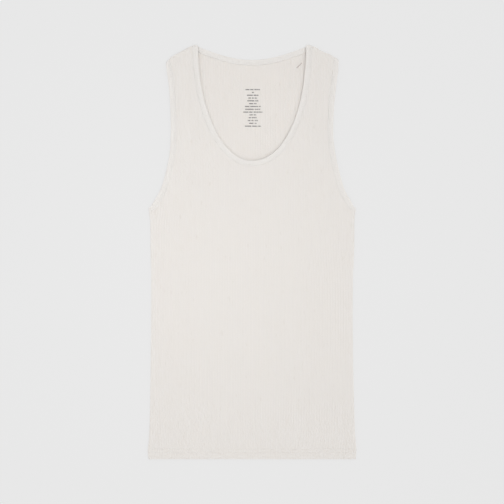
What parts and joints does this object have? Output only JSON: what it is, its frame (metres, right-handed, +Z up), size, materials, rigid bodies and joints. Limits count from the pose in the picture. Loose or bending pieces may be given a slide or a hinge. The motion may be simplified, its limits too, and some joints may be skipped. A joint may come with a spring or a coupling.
{
  "type": "tank top",
  "caption": "Slim sleeveless rib tank top laid flat, with a deep round front neckline, bound neck and armholes and a turned hem.",
  "frame": {"origin": "bottom centre of the box round the garment, on the surface that it lies on", "axes": "+X across it to the wearer's left, +Y from the hem to the shoulders, +Z up off the surface, out of the front"},
  "size_m": [0.3221, 0.64, 0.0055],
  "materials": {
    "rib": "matt ivory cotton in a fine vertical rib",
    "binding_rib": "the same ivory cotton rib, folded double and stitched",
    "thread": "ivory sewing thread with a faint sheen",
    "print": "matt dark grey ink printed on the inside of the back"
  },
  "bodies": {
    "root": {"front_panel": "rib", "back_panel": "rib", "neck_binding": "binding_rib", "armhole_binding_left": "binding_rib", "armhole_binding_right": "binding_rib"}
  },
  "joints": []
}
